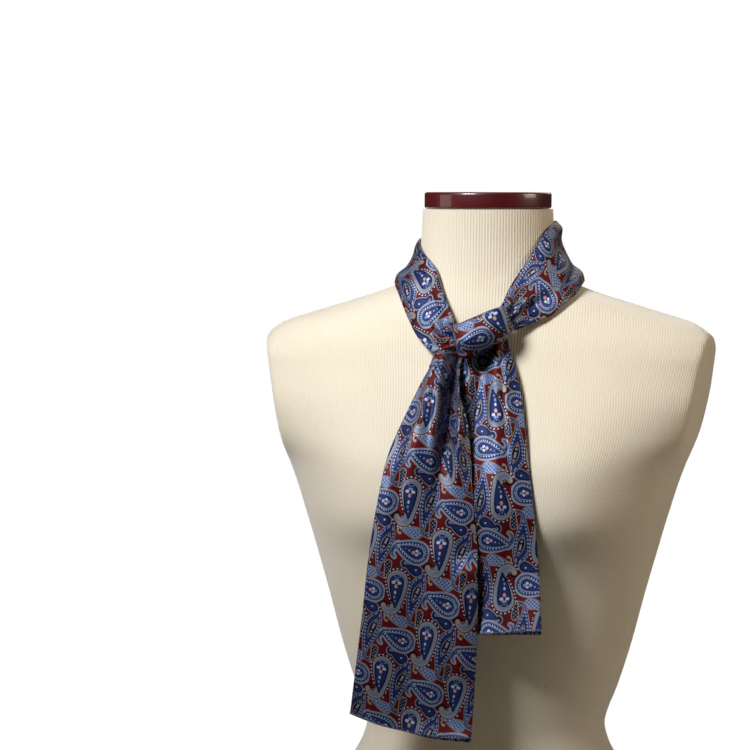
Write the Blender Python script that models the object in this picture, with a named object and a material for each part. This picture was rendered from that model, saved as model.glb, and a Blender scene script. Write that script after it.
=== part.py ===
"""A silk scarf, tied in a half knot round the neck of a limbless dress form.

Millimetres in the tables, metres in the meshes. +Z is up and the form faces -Y.
"""
import math

import bmesh
import bpy
import numpy as np
from mathutils import Matrix

MM = 0.001
SEAM_GAP = 0.3

# The dress form: height over all, and what stands on the neck
FORM_HEIGHT = 736.0
CAP_HEIGHT = 15.0
CAP_HALF_WIDTH = 57.5
CAP_HALF_DEPTH = 53.5
CAP_EDGE_ROUND = 2.5
CAP_RING_POINTS = 48
NECK_TOP = FORM_HEIGHT - CAP_HEIGHT - SEAM_GAP
FOOT_ROUND = 4.0

# One row for each level of the form: height, half width, how far the front and
# the back stand from the neck's axis, and how square the section is (2 = ellipse)
FORM_SECTIONS = (
    # z, half_width, front, back, squareness
    (0.0, 169.0, 99.0, 124.0, 2.3),
    (43.0, 174.5, 103.0, 130.0, 2.3),
    (103.0, 168.0, 103.0, 126.0, 2.3),
    (163.0, 148.0, 96.0, 106.0, 2.25),
    (200.0, 132.5, 89.0, 92.0, 2.2),
    (218.0, 121.5, 85.5, 84.0, 2.2),
    (235.0, 113.0, 83.0, 78.0, 2.2),
    (251.0, 109.5, 82.0, 75.0, 2.2),
    (268.0, 113.5, 83.5, 77.0, 2.2),
    (283.0, 119.5, 86.0, 80.0, 2.2),
    (326.0, 133.0, 92.0, 90.0, 2.25),
    (373.0, 145.0, 100.0, 102.0, 2.3),
    (413.0, 156.0, 107.0, 111.0, 2.3),
    (450.0, 166.5, 113.0, 118.0, 2.35),
    (493.0, 181.0, 112.0, 123.0, 2.5),
    (528.0, 205.0, 103.0, 122.0, 2.8),
    (560.0, 216.0, 92.0, 118.0, 3.0),
    (588.0, 216.0, 81.0, 110.0, 3.0),
    (603.0, 207.0, 75.5, 105.0, 2.9),
    (611.0, 197.5, 72.5, 102.0, 2.7),
    (618.0, 187.0, 70.0, 99.0, 2.5),
    (628.0, 156.0, 67.0, 93.0, 2.35),
    (638.0, 124.0, 64.0, 85.0, 2.25),
    (648.0, 93.0, 61.0, 76.0, 2.15),
    (655.0, 78.0, 59.5, 69.0, 2.1),
    (664.0, 68.5, 58.0, 63.0, 2.0),
    (677.0, 63.0, 56.5, 58.0, 2.0),
    (695.0, 60.5, 55.0, 55.5, 2.0),
    (NECK_TOP, 59.0, 54.0, 54.0, 2.0),
)
FORM_RING_STEP = 20.0
FORM_RING_POINTS = 56
BEND_WEIGHT = 45.0

# The flat armhole faces: place at the level of the shoulder's tip, lean inwards
# going down, and turn towards the front
ARM_FACE_X = 202.0
ARM_FACE_Z = 602.0
ARM_FACE_LEAN = 0.168
ARM_FACE_TURN = 0.12
ARM_FACE_ROUND = 5.0

# The bust: a soft rise on each side, longer above its apex than below
BUST_X = 86.0
BUST_Z = 462.0
BUST_RISE = 18.0
BUST_HALF_WIDTH = 58.0
BUST_ABOVE = 72.0
BUST_BELOW = 44.0

# The scarf is a doubled silk tube, so each stretch is a wall of two plies or more
TAIL_WALL = 1.6
BAND_WALL = 2.2
NORMAL_STEP = 0.006
LOOP_COLUMNS = 14
FOLD_SWELL = 30.0

# The long tail's edges, from under the knot to the hem, and how far its middle stands out
LONG_TAIL = (
    # x_left, y_left, z_left, x_right, y_right, z_right, rise
    (-30.0, -79.5, 605.0, -11.0, -80.5, 605.0, 0.0),
    (-34.5, -84.0, 592.5, -14.5, -88.5, 593.0, 0.5),
    (-44.0, -93.0, 577.0, -13.5, -99.0, 573.5, 2.0),
    (-60.0, -105.0, 543.0, -4.5, -112.5, 538.5, 3.0),
    (-71.5, -117.5, 514.0, -1.5, -120.3, 514.0, 3.0),
    (-80.5, -127.0, 471.5, 1.5, -127.5, 470.0, 4.0),
    (-86.0, -130.0, 437.0, 5.0, -129.5, 437.0, 5.0),
    (-94.4, -129.0, 366.5, 6.5, -128.5, 358.0, 4.0),
    (-104.9, -127.0, 282.5, 0.0, -124.0, 270.0, 3.0),
)
# Folds that run down from the knot: where each starts and ends across the tail
# (0 = left edge, 1 = right edge), the distances it runs between, height, half widths
LONG_TAIL_FOLDS = (
    # start, end, run_from, run_to, height, half_width_top, half_width_end
    (0.74, 0.56, 0.0, 190.0, -7.0, 4.0, 15.0),
    (0.38, 0.20, 0.0, 165.0, 6.5, 6.5, 17.0),
    (1.00, 0.84, 0.0, 200.0, 4.0, 4.0, 12.0),
    (0.12, 0.02, 0.0, 120.0, -2.0, 4.0, 9.0),
    (0.30, 0.24, 120.0, 420.0, 3.0, 15.0, 20.0),
    (0.62, 0.66, 170.0, 420.0, 2.5, 12.0, 16.0),
)

SHORT_TAIL = (
    # x_left, y_left, z_left, x_right, y_right, z_right, rise
    (5.0, -80.5, 624.0, 22.5, -80.5, 625.0, 0.5),
    (-3.0, -81.0, 612.0, 24.4, -81.5, 613.0, 1.0),
    (-12.0, -81.0, 598.0, 28.5, -86.0, 599.0, 1.5),
    (-19.0, -89.8, 572.5, 36.9, -96.0, 573.0, 2.0),
    (-24.0, -109.0, 527.0, 44.8, -114.0, 528.0, 2.0),
    (-27.0, -122.5, 473.0, 51.8, -127.0, 475.0, 1.0),
    (-33.0, -122.0, 406.0, 58.7, -127.0, 409.0, 1.0),
    (-36.0, -119.0, 354.0, 61.5, -125.5, 365.0, 2.0),
)
SHORT_TAIL_FOLDS = (
    # start, end, run_from, run_to, height, half_width_top, half_width_end
    (0.74, 0.80, 0.0, 200.0, 4.0, 4.0, 16.0),
    (0.45, 0.54, 0.0, 150.0, -3.0, 4.0, 12.0),
    (0.14, 0.25, 0.0, 120.0, 2.0, 4.0, 12.0),
    (0.62, 0.60, 110.0, 400.0, 2.0, 10.0, 14.0),
)

# The stretch round the neck, from the knot's left end round the back to its right
# end: its upper and lower edge, and how far it stands out between them
NECK_LOOP = (
    # x_up, y_up, z_up, x_low, y_low, z_low, rise
    (-13.5, -85.5, 619.5, -13.0, -93.0, 597.5, 0.0),
    (-19.5, -84.0, 621.0, -24.5, -93.8, 595.3, 1.0),
    (-22.0, -79.0, 625.5, -36.5, -89.7, 594.0, 2.0),
    (-25.0, -74.0, 632.0, -50.0, -81.0, 607.0, 3.5),
    (-32.6, -64.5, 648.0, -60.6, -72.5, 622.0, 3.5),
    (-42.0, -50.5, 669.5, -73.0, -54.0, 645.0, 2.5),
    (-55.2, -34.5, 682.0, -79.5, -30.0, 653.0, 0.0),
    (-62.5, -4.0, 692.0, -81.5, -3.0, 656.5, -1.5),
    (-46.3, 42.0, 693.0, -62.5, 51.0, 655.5, 0.0),
    (0.0, 58.0, 698.0, 0.0, 73.5, 653.5, 0.5),
    (46.3, 42.0, 706.0, 65.5, 52.5, 656.5, -1.0),
    (61.4, 5.0, 709.0, 85.5, 12.0, 657.0, -3.0),
    (56.6, -24.8, 702.5, 85.5, -20.0, 653.0, -1.0),
    (48.5, -40.3, 688.5, 81.5, -47.0, 645.5, 2.5),
    (41.2, -48.5, 677.0, 72.5, -60.5, 638.0, 3.5),
    (32.6, -57.0, 663.0, 60.0, -69.0, 628.0, 4.0),
    (26.4, -65.0, 652.0, 47.0, -74.5, 623.0, 3.5),
    (23.0, -74.5, 642.0, 36.0, -80.5, 618.5, 2.5),
    (21.0, -81.7, 636.0, 29.5, -83.8, 617.0, 0.5),
)
LOOP_LEFT_END = 7
LOOP_RIGHT_START = 11
LOOP_FOLDS = (
    # start, end, run_from, run_to, height, half_width_top, half_width_end
    (0.45, 0.40, 0.0, 60.0, 2.0, 3.5, 9.0),
    (0.78, 0.80, 0.0, 70.0, -1.5, 3.0, 7.0),
    (0.15, 0.12, 0.0, 45.0, -1.5, 3.0, 6.0),
    (0.86, 0.86, 20.0, 300.0, 3.5, 6.0, 7.0),
    (0.12, 0.12, 50.0, 250.0, 1.5, 5.0, 7.0),
)
LOOP_RIGHT_FOLDS = (
    # start, end, run_from, run_to, height, half_width_top, half_width_end
    (0.20, 0.12, 0.0, 50.0, -2.0, 3.0, 8.0),
    (0.48, 0.42, 0.0, 75.0, 3.0, 3.5, 12.0),
    (0.80, 0.72, 0.0, 60.0, -2.0, 3.0, 9.0),
    (0.13, 0.12, 60.0, 230.0, 4.5, 6.0, 7.0),
    (0.88, 0.87, 30.0, 260.0, 4.0, 7.0, 8.0),
)

# The wrap in front of the knot: its middle line and the section round it
KNOT_WRAP = (
    # x, y, z, half_height, half_depth
    (-18.8, -95.8, 608.5, 7.0, 2.5),
    (-18.0, -96.3, 609.0, 10.5, 4.5),
    (-15.0, -97.6, 609.5, 12.0, 6.5),
    (-8.0, -98.6, 611.0, 12.6, 8.8),
    (0.0, -97.3, 613.8, 13.6, 11.0),
    (9.0, -95.1, 617.5, 14.0, 11.5),
    (17.0, -93.7, 621.5, 13.4, 10.5),
    (23.5, -92.3, 624.8, 11.5, 9.0),
    (27.0, -90.8, 626.0, 9.5, 7.0),
    (29.0, -89.5, 626.5, 7.0, 5.0),
    (29.6, -89.1, 626.8, 4.0, 3.0),
)
KNOT_RIDGES = 5
KNOT_RIDGE_HEIGHT = 0.8


def material(name, color, roughness, metallic=0.0):
    mat = bpy.data.materials.new(name)
    mat.use_nodes = True
    shader = mat.node_tree.nodes["Principled BSDF"]
    shader.inputs["Base Color"].default_value = (*color, 1.0)
    shader.inputs["Roughness"].default_value = roughness
    shader.inputs["Metallic"].default_value = metallic
    return mat


def read_rows(rows, at, overshoot=False):
    """Each column of a table read at new values of its first column, on a smooth curve."""
    table = np.array(rows, float)
    x, columns = table[:, 0], table[:, 1:]
    step = np.diff(x)[:, None]
    slope = np.diff(columns, axis=0) / step
    tangent = np.zeros_like(columns)
    same_way = slope[:-1] * slope[1:] > 0
    both = np.where(same_way, slope[:-1] + slope[1:], 1.0)
    tangent[1:-1] = np.where(same_way, 2.0 * slope[:-1] * slope[1:] / both, 0.0)
    if overshoot:
        tangent[1:-1] = (slope[:-1] * step[1:] + slope[1:] * step[:-1]) / (step[:-1] + step[1:])
    tangent[0], tangent[-1] = slope[0], slope[-1]
    at = np.clip(np.asarray(at, float), x[0], x[-1])
    i = np.clip(np.searchsorted(x, at, side="right") - 1, 0, len(x) - 2)
    t = ((at - x[i]) / (x[i + 1] - x[i]))[:, None]
    h = (x[i + 1] - x[i])[:, None]
    return ((2 * t**3 - 3 * t**2 + 1) * columns[i] + (t**3 - 2 * t**2 + t) * h * tangent[i]
            + (3 * t**2 - 2 * t**3) * columns[i + 1] + (t**3 - t**2) * h * tangent[i + 1])


def soft_min(a, b, width):
    """The lesser of two values, rounded over where they cross."""
    mix = np.clip(0.5 + 0.5 * (b - a) / width, 0.0, 1.0)
    return b + (a - b) * mix - width * mix * (1.0 - mix)


def bust_rise(x, z):
    reach = np.where(z > BUST_Z, BUST_ABOVE, BUST_BELOW)
    side = np.exp(-(((np.abs(x) - BUST_X) / BUST_HALF_WIDTH) ** 2))
    return BUST_RISE * side * np.exp(-(((z - BUST_Z) / reach) ** 2))


def spread_points(points, count):
    """A closed line of points, set out again from its first point, closer where it bends."""
    closed = np.vstack([points, points[:1]])
    side = np.diff(closed, axis=0)
    heading = np.arctan2(side[:, 1], side[:, 0])
    bend = np.abs(np.angle(np.exp(1j * (heading - np.roll(heading, 1)))))
    bend = 0.5 * (bend + np.roll(bend, -1))
    run = np.concatenate([[0.0], np.cumsum(np.linalg.norm(side, axis=1) + BEND_WEIGHT * bend)])
    at = np.linspace(0.0, run[-1], count, endpoint=False)
    return np.column_stack([np.interp(at, run, closed[:, k]) for k in range(closed.shape[1])])


def form_ring(z, count, inset=0.0):
    """One level of the form, from the back's middle round past +X."""
    half_width, front, back, square = read_rows(FORM_SECTIONS, [z])[0]
    turn = np.linspace(0.0, 2.0 * math.pi, 721)[:-1]
    across, along = np.sin(turn), np.cos(turn)
    x = (half_width - inset) * np.sign(across) * np.abs(across) ** (2.0 / square)
    depth = np.where(along > 0, back - inset, front - inset)
    y = depth * np.sign(along) * np.abs(along) ** (2.0 / square)
    front_share = np.clip(-y / front, 0.0, 1.0) ** 0.5
    y = y - bust_rise(x, z) * front_share
    face = ARM_FACE_X + ARM_FACE_LEAN * (z - ARM_FACE_Z) + ARM_FACE_TURN * y - inset
    if z > BUST_Z:
        x = np.sign(x) * soft_min(np.abs(x), face, ARM_FACE_ROUND)
    ring = spread_points(np.column_stack([x, y]), count)
    return np.column_stack([ring, np.full(count, z)])


def form_levels(step):
    """Heights for the rings: each row of the table, and even steps between rows."""
    rows = [row[0] for row in FORM_SECTIONS]
    levels = [0.0, FOOT_ROUND * 0.3, FOOT_ROUND]
    for low, high in zip(rows, rows[1:]):
        pieces = max(1, round((high - low) / step))
        levels += [low + (high - low) * k / pieces for k in range(1, pieces + 1)]
    return levels


def foot_inset(z):
    """How far the rounded lower edge draws in at this height."""
    if z >= FOOT_ROUND:
        return 0.0
    return FOOT_ROUND - math.sqrt(FOOT_ROUND**2 - (FOOT_ROUND - z) ** 2)


def loft(name, rings, mat):
    """A closed solid through rings that run anticlockwise seen from above, lowest first."""
    bm = bmesh.new()
    rows = [[bm.verts.new(tuple(point * MM)) for point in ring] for ring in rings]
    for low, high in zip(rows, rows[1:]):
        for k in range(len(low)):
            n = (k + 1) % len(low)
            bm.faces.new((low[k], low[n], high[n], high[k]))
    bm.faces.new(list(reversed(rows[0])))
    bm.faces.new(rows[-1])
    bmesh.ops.recalc_face_normals(bm, faces=bm.faces)
    return add_object(name, bm, mat)


def add_object(name, bm, mat):
    mesh = bpy.data.meshes.new(name)
    bm.to_mesh(mesh)
    bm.free()
    mesh.shade_smooth()
    mesh.set_sharp_from_angle(angle=math.radians(50))
    obj = bpy.data.objects.new(name, mesh)
    bpy.context.scene.collection.objects.link(obj)
    mesh.materials.append(mat)
    return obj


def build_form(mat):
    rings = [form_ring(z, FORM_RING_POINTS, foot_inset(z)) for z in form_levels(FORM_RING_STEP)]
    return loft("form_torso", rings, mat)


def build_cap(mat):
    low = NECK_TOP + SEAM_GAP
    steps = 3
    profile = []
    for k in range(steps + 1):
        a = 0.5 * math.pi * k / steps
        profile.append((low + CAP_EDGE_ROUND * (1 - math.cos(a)), CAP_EDGE_ROUND * (1 - math.sin(a))))
    for k in range(steps + 1):
        a = 0.5 * math.pi * k / steps
        profile.append((FORM_HEIGHT - CAP_EDGE_ROUND * (1 - math.sin(a)), CAP_EDGE_ROUND * (1 - math.cos(a))))
    turn = np.linspace(0.0, 2.0 * math.pi, CAP_RING_POINTS, endpoint=False)
    rings = []
    for z, inset in profile:
        x = (CAP_HALF_WIDTH - inset) * np.sin(turn)
        y = (CAP_HALF_DEPTH - inset) * np.cos(turn)
        rings.append(np.column_stack([x, y, np.full(len(turn), z)]))
    return loft("neck_cap", rings, mat)


def along_rows(rows, at):
    """A table's rows read along its own length: at = 0 is the first row, 1 the last."""
    table = np.array(rows, float)
    middle = 0.5 * (table[:, 0:3] + table[:, 3:6])
    run = np.concatenate([[0.0], np.cumsum(np.linalg.norm(np.diff(middle, axis=0), axis=1))])
    return read_rows(np.column_stack([run, table]), np.asarray(at) * run[-1], overshoot=True), run


def ruled(rows, down, share):
    """The straight-sided stretch between a table's two edges, as a grid of points."""
    read, _ = along_rows(rows, np.clip(down, 0.0, 1.0))
    return read[:, None, 0:3] + (read[:, 3:6] - read[:, 0:3])[:, None, :] * share


def unit_normals(down, across, outward):
    """Unit normals from the directions down and across, on the side that outward points to."""
    normal = np.cross(down, np.broadcast_to(across, down.shape))
    normal /= np.linalg.norm(normal, axis=2, keepdims=True)
    side = np.sign(np.sum(normal * outward, axis=2, keepdims=True))
    return normal * np.where(side == 0, 1.0, side)


def fold_heights(folds, across, width, run):
    """Height of all folds at a share across, with the cloth's width and the distance run."""
    total = np.zeros(np.broadcast(across, run).shape)
    for start, end, run_from, run_to, height, narrow, broad in folds:
        t = np.clip((run - run_from) / (run_to - run_from), 0.0, 1.0)
        middle = start + (end - start) * t
        half_width = narrow + (broad - narrow) * t
        swell = np.clip((run - run_from) / FOLD_SWELL, 0.0, 1.0)
        swell = 0.15 + 0.85 * swell * swell * (3.0 - 2.0 * swell)
        fade = np.cos(0.5 * math.pi * t) ** 1.2 if run_from == 0.0 else np.sin(math.pi * t) ** 0.8
        total = total + height * swell * fade * np.exp(-(((across - middle) * width / half_width) ** 2))
    return total


def stretch(rows, down, across, outward_from, folds, folds_from_end=()):
    """The outer face of a stretch of cloth, as a grid of points from its table of edges."""
    read, run = along_rows(rows, down)
    first, second, rise = read[:, 0:3], read[:, 3:6], read[:, 6]
    share = np.asarray(across)[None, :, None]
    base = first[:, None, :] + (second - first)[:, None, :] * share
    normal = unit_normals(ruled(rows, down + NORMAL_STEP, share) - ruled(rows, down - NORMAL_STEP, share),
                          (second - first)[:, None, :], outward_from(base))
    width = np.linalg.norm(second - first, axis=1)[:, None]
    distance = (np.asarray(down) * run[-1])[:, None]
    flat_share = share[:, :, 0]
    height = rise[:, None] * 4.0 * flat_share * (1.0 - flat_share)
    height = height + fold_heights(folds, flat_share, width, distance)
    if folds_from_end:
        height = height + fold_heights(folds_from_end, flat_share, width, run[-1] - distance)
    return base + normal * height[:, :, None]


def away_from_neck(points):
    out = points.copy()
    out[:, :, 2] = 0.0
    return out


def towards_front(points):
    out = np.zeros_like(points)
    out[:, :, 1] = -1.0
    return out


def both_faces(thickness, rows, down, across, outward_from, *folds):
    """The outer and the inner face of a stretch, a wall's thickness apart."""
    outer = stretch(rows, down, across, outward_from, *folds)
    ahead = stretch(rows, np.minimum(down + NORMAL_STEP, 1.0), across, outward_from, *folds)
    behind = stretch(rows, np.maximum(down - NORMAL_STEP, 0.0), across, outward_from, *folds)
    normal = unit_normals(ahead - behind, np.gradient(outer, axis=1), outward_from(outer))
    return outer, outer - thickness * normal


def wall(name, outer, inner, mat):
    """A closed wall between an outer and an inner grid of points."""
    bm = bmesh.new()
    faces = []
    sides = []
    for grid in (outer, inner):
        sides.append([[bm.verts.new(tuple(p * MM)) for p in row] for row in grid])
    front, back = sides
    rows, columns = outer.shape[0], outer.shape[1]
    for i in range(rows - 1):
        for j in range(columns - 1):
            faces.append(bm.faces.new((front[i][j], front[i + 1][j], front[i + 1][j + 1], front[i][j + 1])))
            faces.append(bm.faces.new((back[i][j], back[i][j + 1], back[i + 1][j + 1], back[i + 1][j])))
    rim = [(i, 0) for i in range(rows)]
    rim += [(rows - 1, j) for j in range(1, columns)]
    rim += [(i, columns - 1) for i in range(rows - 2, -1, -1)]
    rim += [(0, j) for j in range(columns - 2, 0, -1)]
    for (a, b), (c, d) in zip(rim, rim[1:] + rim[:1]):
        faces.append(bm.faces.new((front[c][d], front[a][b], back[a][b], back[c][d])))
    bmesh.ops.recalc_face_normals(bm, faces=faces)
    return add_object(name, bm, mat)


def even(count, low=0.0, high=1.0):
    return np.linspace(low, high, count)


def build_tails(mat):
    for name, rows, folds, down, across in (
        ("scarf_tail_long", LONG_TAIL, LONG_TAIL_FOLDS, 26, 25),
        ("scarf_tail_short", SHORT_TAIL, SHORT_TAIL_FOLDS, 22, 21),
    ):
        outer, inner = both_faces(TAIL_WALL, rows, even(down), even(across), towards_front, folds)
        wall(name, outer, inner, mat)


def build_loop(mat):
    _, run = along_rows(NECK_LOOP, [0.0])
    left = run[LOOP_LEFT_END] / run[-1]
    right = run[LOOP_RIGHT_START] / run[-1]
    half_gap = 0.5 * SEAM_GAP / run[-1]
    spans = (
        ("scarf_band_left", 0.0, left - half_gap, 16),
        ("scarf_band_back", left + half_gap, right - half_gap, 20),
        ("scarf_band_right", right + half_gap, 1.0, 20),
    )
    down = np.concatenate([even(count, low, high) for _, low, high, count in spans])
    outer, inner = both_faces(BAND_WALL, NECK_LOOP, down, even(LOOP_COLUMNS), away_from_neck, LOOP_FOLDS, LOOP_RIGHT_FOLDS)
    start = 0
    for name, _, _, count in spans:
        wall(name, outer[start:start + count], inner[start:start + count], mat)
        start += count


def build_wrap(mat):
    table = np.array(KNOT_WRAP)
    run = np.concatenate([[0.0], np.cumsum(np.linalg.norm(np.diff(table[:, :3], axis=0), axis=1))])
    read = read_rows(np.column_stack([run, table]), np.linspace(0.0, run[-1], 22))
    axis = np.gradient(read[:, :3], axis=0)
    axis[:, 1] = 0.0
    axis /= np.linalg.norm(axis, axis=1, keepdims=True)
    up = np.column_stack([-axis[:, 2], axis[:, 1], axis[:, 0]])
    turn = np.linspace(0.0, 2.0 * math.pi, 28, endpoint=False)
    rings = []
    for centre, rise, half_height, half_depth in zip(read[:, :3], up, read[:, 3], read[:, 4]):
        ridge = 1.0 + KNOT_RIDGE_HEIGHT / 13.0 * np.cos(KNOT_RIDGES * turn)
        high = (half_height * ridge * np.sin(turn))[:, None] * rise
        deep = (half_depth * ridge * np.cos(turn))[:, None] * np.array([0.0, -1.0, 0.0])
        rings.append(centre + high + deep)
    return loft("scarf_knot_wrap", rings, mat)


def stand_on_origin():
    """Move everything so that the middle of the whole object's footprint is at the origin."""
    meshes = [obj.data for obj in bpy.data.objects if obj.type == "MESH"]
    points = np.array([vertex.co[:] for mesh in meshes for vertex in mesh.vertices])
    low, high = points.min(axis=0), points.max(axis=0)
    shift = Matrix.Translation((-0.5 * (low[0] + high[0]), -0.5 * (low[1] + high[1]), -low[2]))
    for mesh in meshes:
        mesh.transform(shift)


def main():
    for obj in list(bpy.data.objects):
        bpy.data.objects.remove(obj, do_unlink=True)
    jersey = material("cream jersey", (0.80, 0.72, 0.57), 0.9)
    wood = material("lacquered wood", (0.16, 0.02, 0.02), 0.25)
    silk = material("printed silk", (0.20, 0.15, 0.30), 0.4)
    build_form(jersey)
    build_cap(wood)
    build_loop(silk)
    build_wrap(silk)
    build_tails(silk)
    stand_on_origin()


main()
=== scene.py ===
"""The looks of a silk scarf on a dress form: its cloth, print, cover, stitches and light."""
import math

import bmesh
import bpy
import numpy as np
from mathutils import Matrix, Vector


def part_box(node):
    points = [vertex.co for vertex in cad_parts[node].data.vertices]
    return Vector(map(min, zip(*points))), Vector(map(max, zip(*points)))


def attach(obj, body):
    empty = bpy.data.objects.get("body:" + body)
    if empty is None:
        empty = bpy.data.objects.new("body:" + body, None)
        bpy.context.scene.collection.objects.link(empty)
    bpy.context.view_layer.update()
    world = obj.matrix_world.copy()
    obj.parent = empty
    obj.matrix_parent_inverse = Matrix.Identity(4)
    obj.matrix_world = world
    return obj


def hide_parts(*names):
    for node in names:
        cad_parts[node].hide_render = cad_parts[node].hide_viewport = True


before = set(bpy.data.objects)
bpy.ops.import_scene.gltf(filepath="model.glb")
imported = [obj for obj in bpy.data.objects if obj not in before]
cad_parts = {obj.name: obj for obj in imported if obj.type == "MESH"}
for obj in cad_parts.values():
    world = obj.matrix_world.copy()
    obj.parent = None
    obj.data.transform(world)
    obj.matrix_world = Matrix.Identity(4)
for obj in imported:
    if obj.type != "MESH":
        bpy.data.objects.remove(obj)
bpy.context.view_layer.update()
MM = 0.001

# The cap and the form, in millimetres from the neck's axis, as the solids have them
CAP_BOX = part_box("neck_cap")
AXIS_X = 500.0 * (CAP_BOX[0].x + CAP_BOX[1].x)
AXIS_Y = 500.0 * (CAP_BOX[0].y + CAP_BOX[1].y)
CAP_LOW, CAP_TOP = 1000.0 * CAP_BOX[0].z, 1000.0 * CAP_BOX[1].z
CAP_HALF_WIDTH = 57.5
CAP_HALF_DEPTH = 53.5
CAP_EDGE_ROUND = 2.5
CAP_POINTS = 144
CAP_ROUND_STEPS = 6
CAP_FACE_INSET = 12.0
SEAM_GAP = 0.3
NECK_TOP = CAP_LOW - SEAM_GAP
FOOT_ROUND = 4.0

# One row for each level of the form: height, half width, how far the front and the back
# stand from the neck's axis, and how square the section is (2 = ellipse)
FORM_SECTIONS = (
    # z, half_width, front, back, squareness
    (0, 169, 99, 124, 2.3),
    (43, 174.5, 103, 130, 2.3),
    (103, 168, 103, 126, 2.3),
    (163, 148, 96, 106, 2.25),
    (200, 132.5, 89, 92, 2.2),
    (218, 121.5, 85.5, 84, 2.2),
    (235, 113, 83, 78, 2.2),
    (251, 109.5, 82, 75, 2.2),
    (268, 113.5, 83.5, 77, 2.2),
    (283, 119.5, 86, 80, 2.2),
    (326, 133, 92, 90, 2.25),
    (373, 145, 100, 102, 2.3),
    (413, 156, 107, 111, 2.3),
    (450, 166.5, 113, 118, 2.35),
    (493, 181, 112, 123, 2.5),
    (528, 205, 103, 122, 2.8),
    (560, 216, 92, 118, 3),
    (588, 216, 81, 110, 3),
    (603, 207, 75.5, 105, 2.9),
    (611, 197.5, 72.5, 102, 2.7),
    (618, 187, 70, 99, 2.5),
    (628, 156, 67, 93, 2.35),
    (638, 124, 64, 85, 2.25),
    (648, 93, 61, 76, 2.15),
    (655, 78, 59.5, 69, 2.1),
    (664, 68.5, 58, 63, 2),
    (677, 63, 56.5, 58, 2),
    (695, 60.5, 55, 55.5, 2),
    (NECK_TOP, 59, 54, 54, 2),
)
RING_SAMPLES = 1440

# The flat faces at the arms: their place, their lean and turn, and how round their edges are
ARM_FACE_X = 202.0
ARM_FACE_Z = 602.0
ARM_FACE_LEAN = 0.168
ARM_FACE_TURN = 0.12
ARM_FACE_ROUND = 5.0

# The bust: its middle, how far it stands out, and its reach to the sides, upwards and down
BUST_X = 86.0
BUST_Z = 462.0
BUST_RISE = 18.0
BUST_HALF_WIDTH = 58.0
BUST_ABOVE = 72.0
BUST_BELOW = 44.0

# The jersey cover: how deep it lies in the form's face, its mesh, and the width of its ribs.
# Their number stays the same up to the shoulder; above it their width goes over to the neck's.
COVER_SINK = 0.12
COVER_POINTS = 288
COVER_STEP = 6.0
SHOULDER_STEP = 3.0
SHOULDER_Z = 560.0
NECK_RIBS_Z = 668.0
NECK_Z = 680.0
NECK_LEVELS = 8
RIBS_PER_QUARTER = 114
NECK_RIB = 2.68
COURSE_PITCH = 1.6
# Above this climb, over this run, the ribs' bump and their painted shade grow deeper
DEEP_RIBS_FROM = 650.0
DEEP_RIBS_RUN = 40.0
COVER_CREASE_ANGLE = math.radians(55)
CAP_CREASE_ANGLE = math.radians(50)

# The cloth: how far its two plies stand apart, its own thickness, and the rows and columns
# of each stretch
TAIL_WALL = 1.6
BAND_WALL = 2.2
PLY = 0.35
WRAP_PLY = 0.8
TAIL_GRID = (170, 96)
BAND_GRID = (370, 52)
WRAP_GRID = (110, 150)
EDGE_STEPS = 5
NORMAL_STEP = 0.003

# Each stretch of the scarf is ruled between two edges, and bulges between them by its rise
LONG_TAIL = (
    # x_left, y_left, z_left, x_right, y_right, z_right, rise
    (-30, -79.5, 605, -11, -80.5, 605, 0),
    (-34.5, -84, 592.5, -14.5, -88.5, 593, 0.5),
    (-44, -93, 577, -13.5, -99, 573.5, 2),
    (-60, -105, 543, -4.5, -112.5, 538.5, 3),
    (-71.5, -117.5, 514, -1.5, -120.3, 514, 3),
    (-80.5, -127, 471.5, 1.5, -127.5, 470, 4),
    (-86, -130, 437, 5, -129.5, 437, 5),
    (-94.4, -129, 366.5, 6.5, -128.5, 358, 4),
    (-104.9, -127, 282.5, 0, -124, 270, 3),
)
# The folds that the solids have too: their place across the cloth at both ends, as a share
# of its width, and their run down it. Half widths grow from the start of the run to its end.
FOLD_SWELL = 30.0
FOLD_AT_START = 0.15
FOLD_POWER_AT_KNOT = 1.2
FOLD_POWER_BELOW = 0.8
LONG_TAIL_FOLDS = (
    # start, end, run_from, run_to, height, half_width_top, half_width_end
    (0.74, 0.56, 0, 190, -7, 4, 15),
    (0.38, 0.20, 0, 165, 6.5, 6.5, 17),
    (1.00, 0.84, 0, 200, 4, 4, 12),
    (0.12, 0.02, 0, 120, -2, 4, 9),
    (0.30, 0.24, 120, 420, 3, 15, 20),
    (0.62, 0.66, 170, 420, 2.5, 12, 16),
)
SHORT_TAIL = (
    # x_left, y_left, z_left, x_right, y_right, z_right, rise
    (5, -80.5, 624, 22.5, -80.5, 625, 0.5),
    (-3, -81, 612, 24.4, -81.5, 613, 1),
    (-12, -81, 598, 28.5, -86, 599, 1.5),
    (-19, -89.8, 572.5, 36.9, -96, 573, 2),
    (-24, -109, 527, 44.8, -114, 528, 2),
    (-27, -122.5, 473, 51.8, -127, 475, 1),
    (-33, -122, 406, 58.7, -127, 409, 1),
    (-36, -119, 354, 61.5, -125.5, 365, 2),
)
SHORT_TAIL_FOLDS = (
    # start, end, run_from, run_to, height, half_width_top, half_width_end
    (0.74, 0.80, 0, 200, 4, 4, 16),
    (0.45, 0.54, 0, 150, -3, 4, 12),
    (0.14, 0.25, 0, 120, 2, 4, 12),
    (0.62, 0.60, 110, 400, 2, 10, 14),
)
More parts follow.
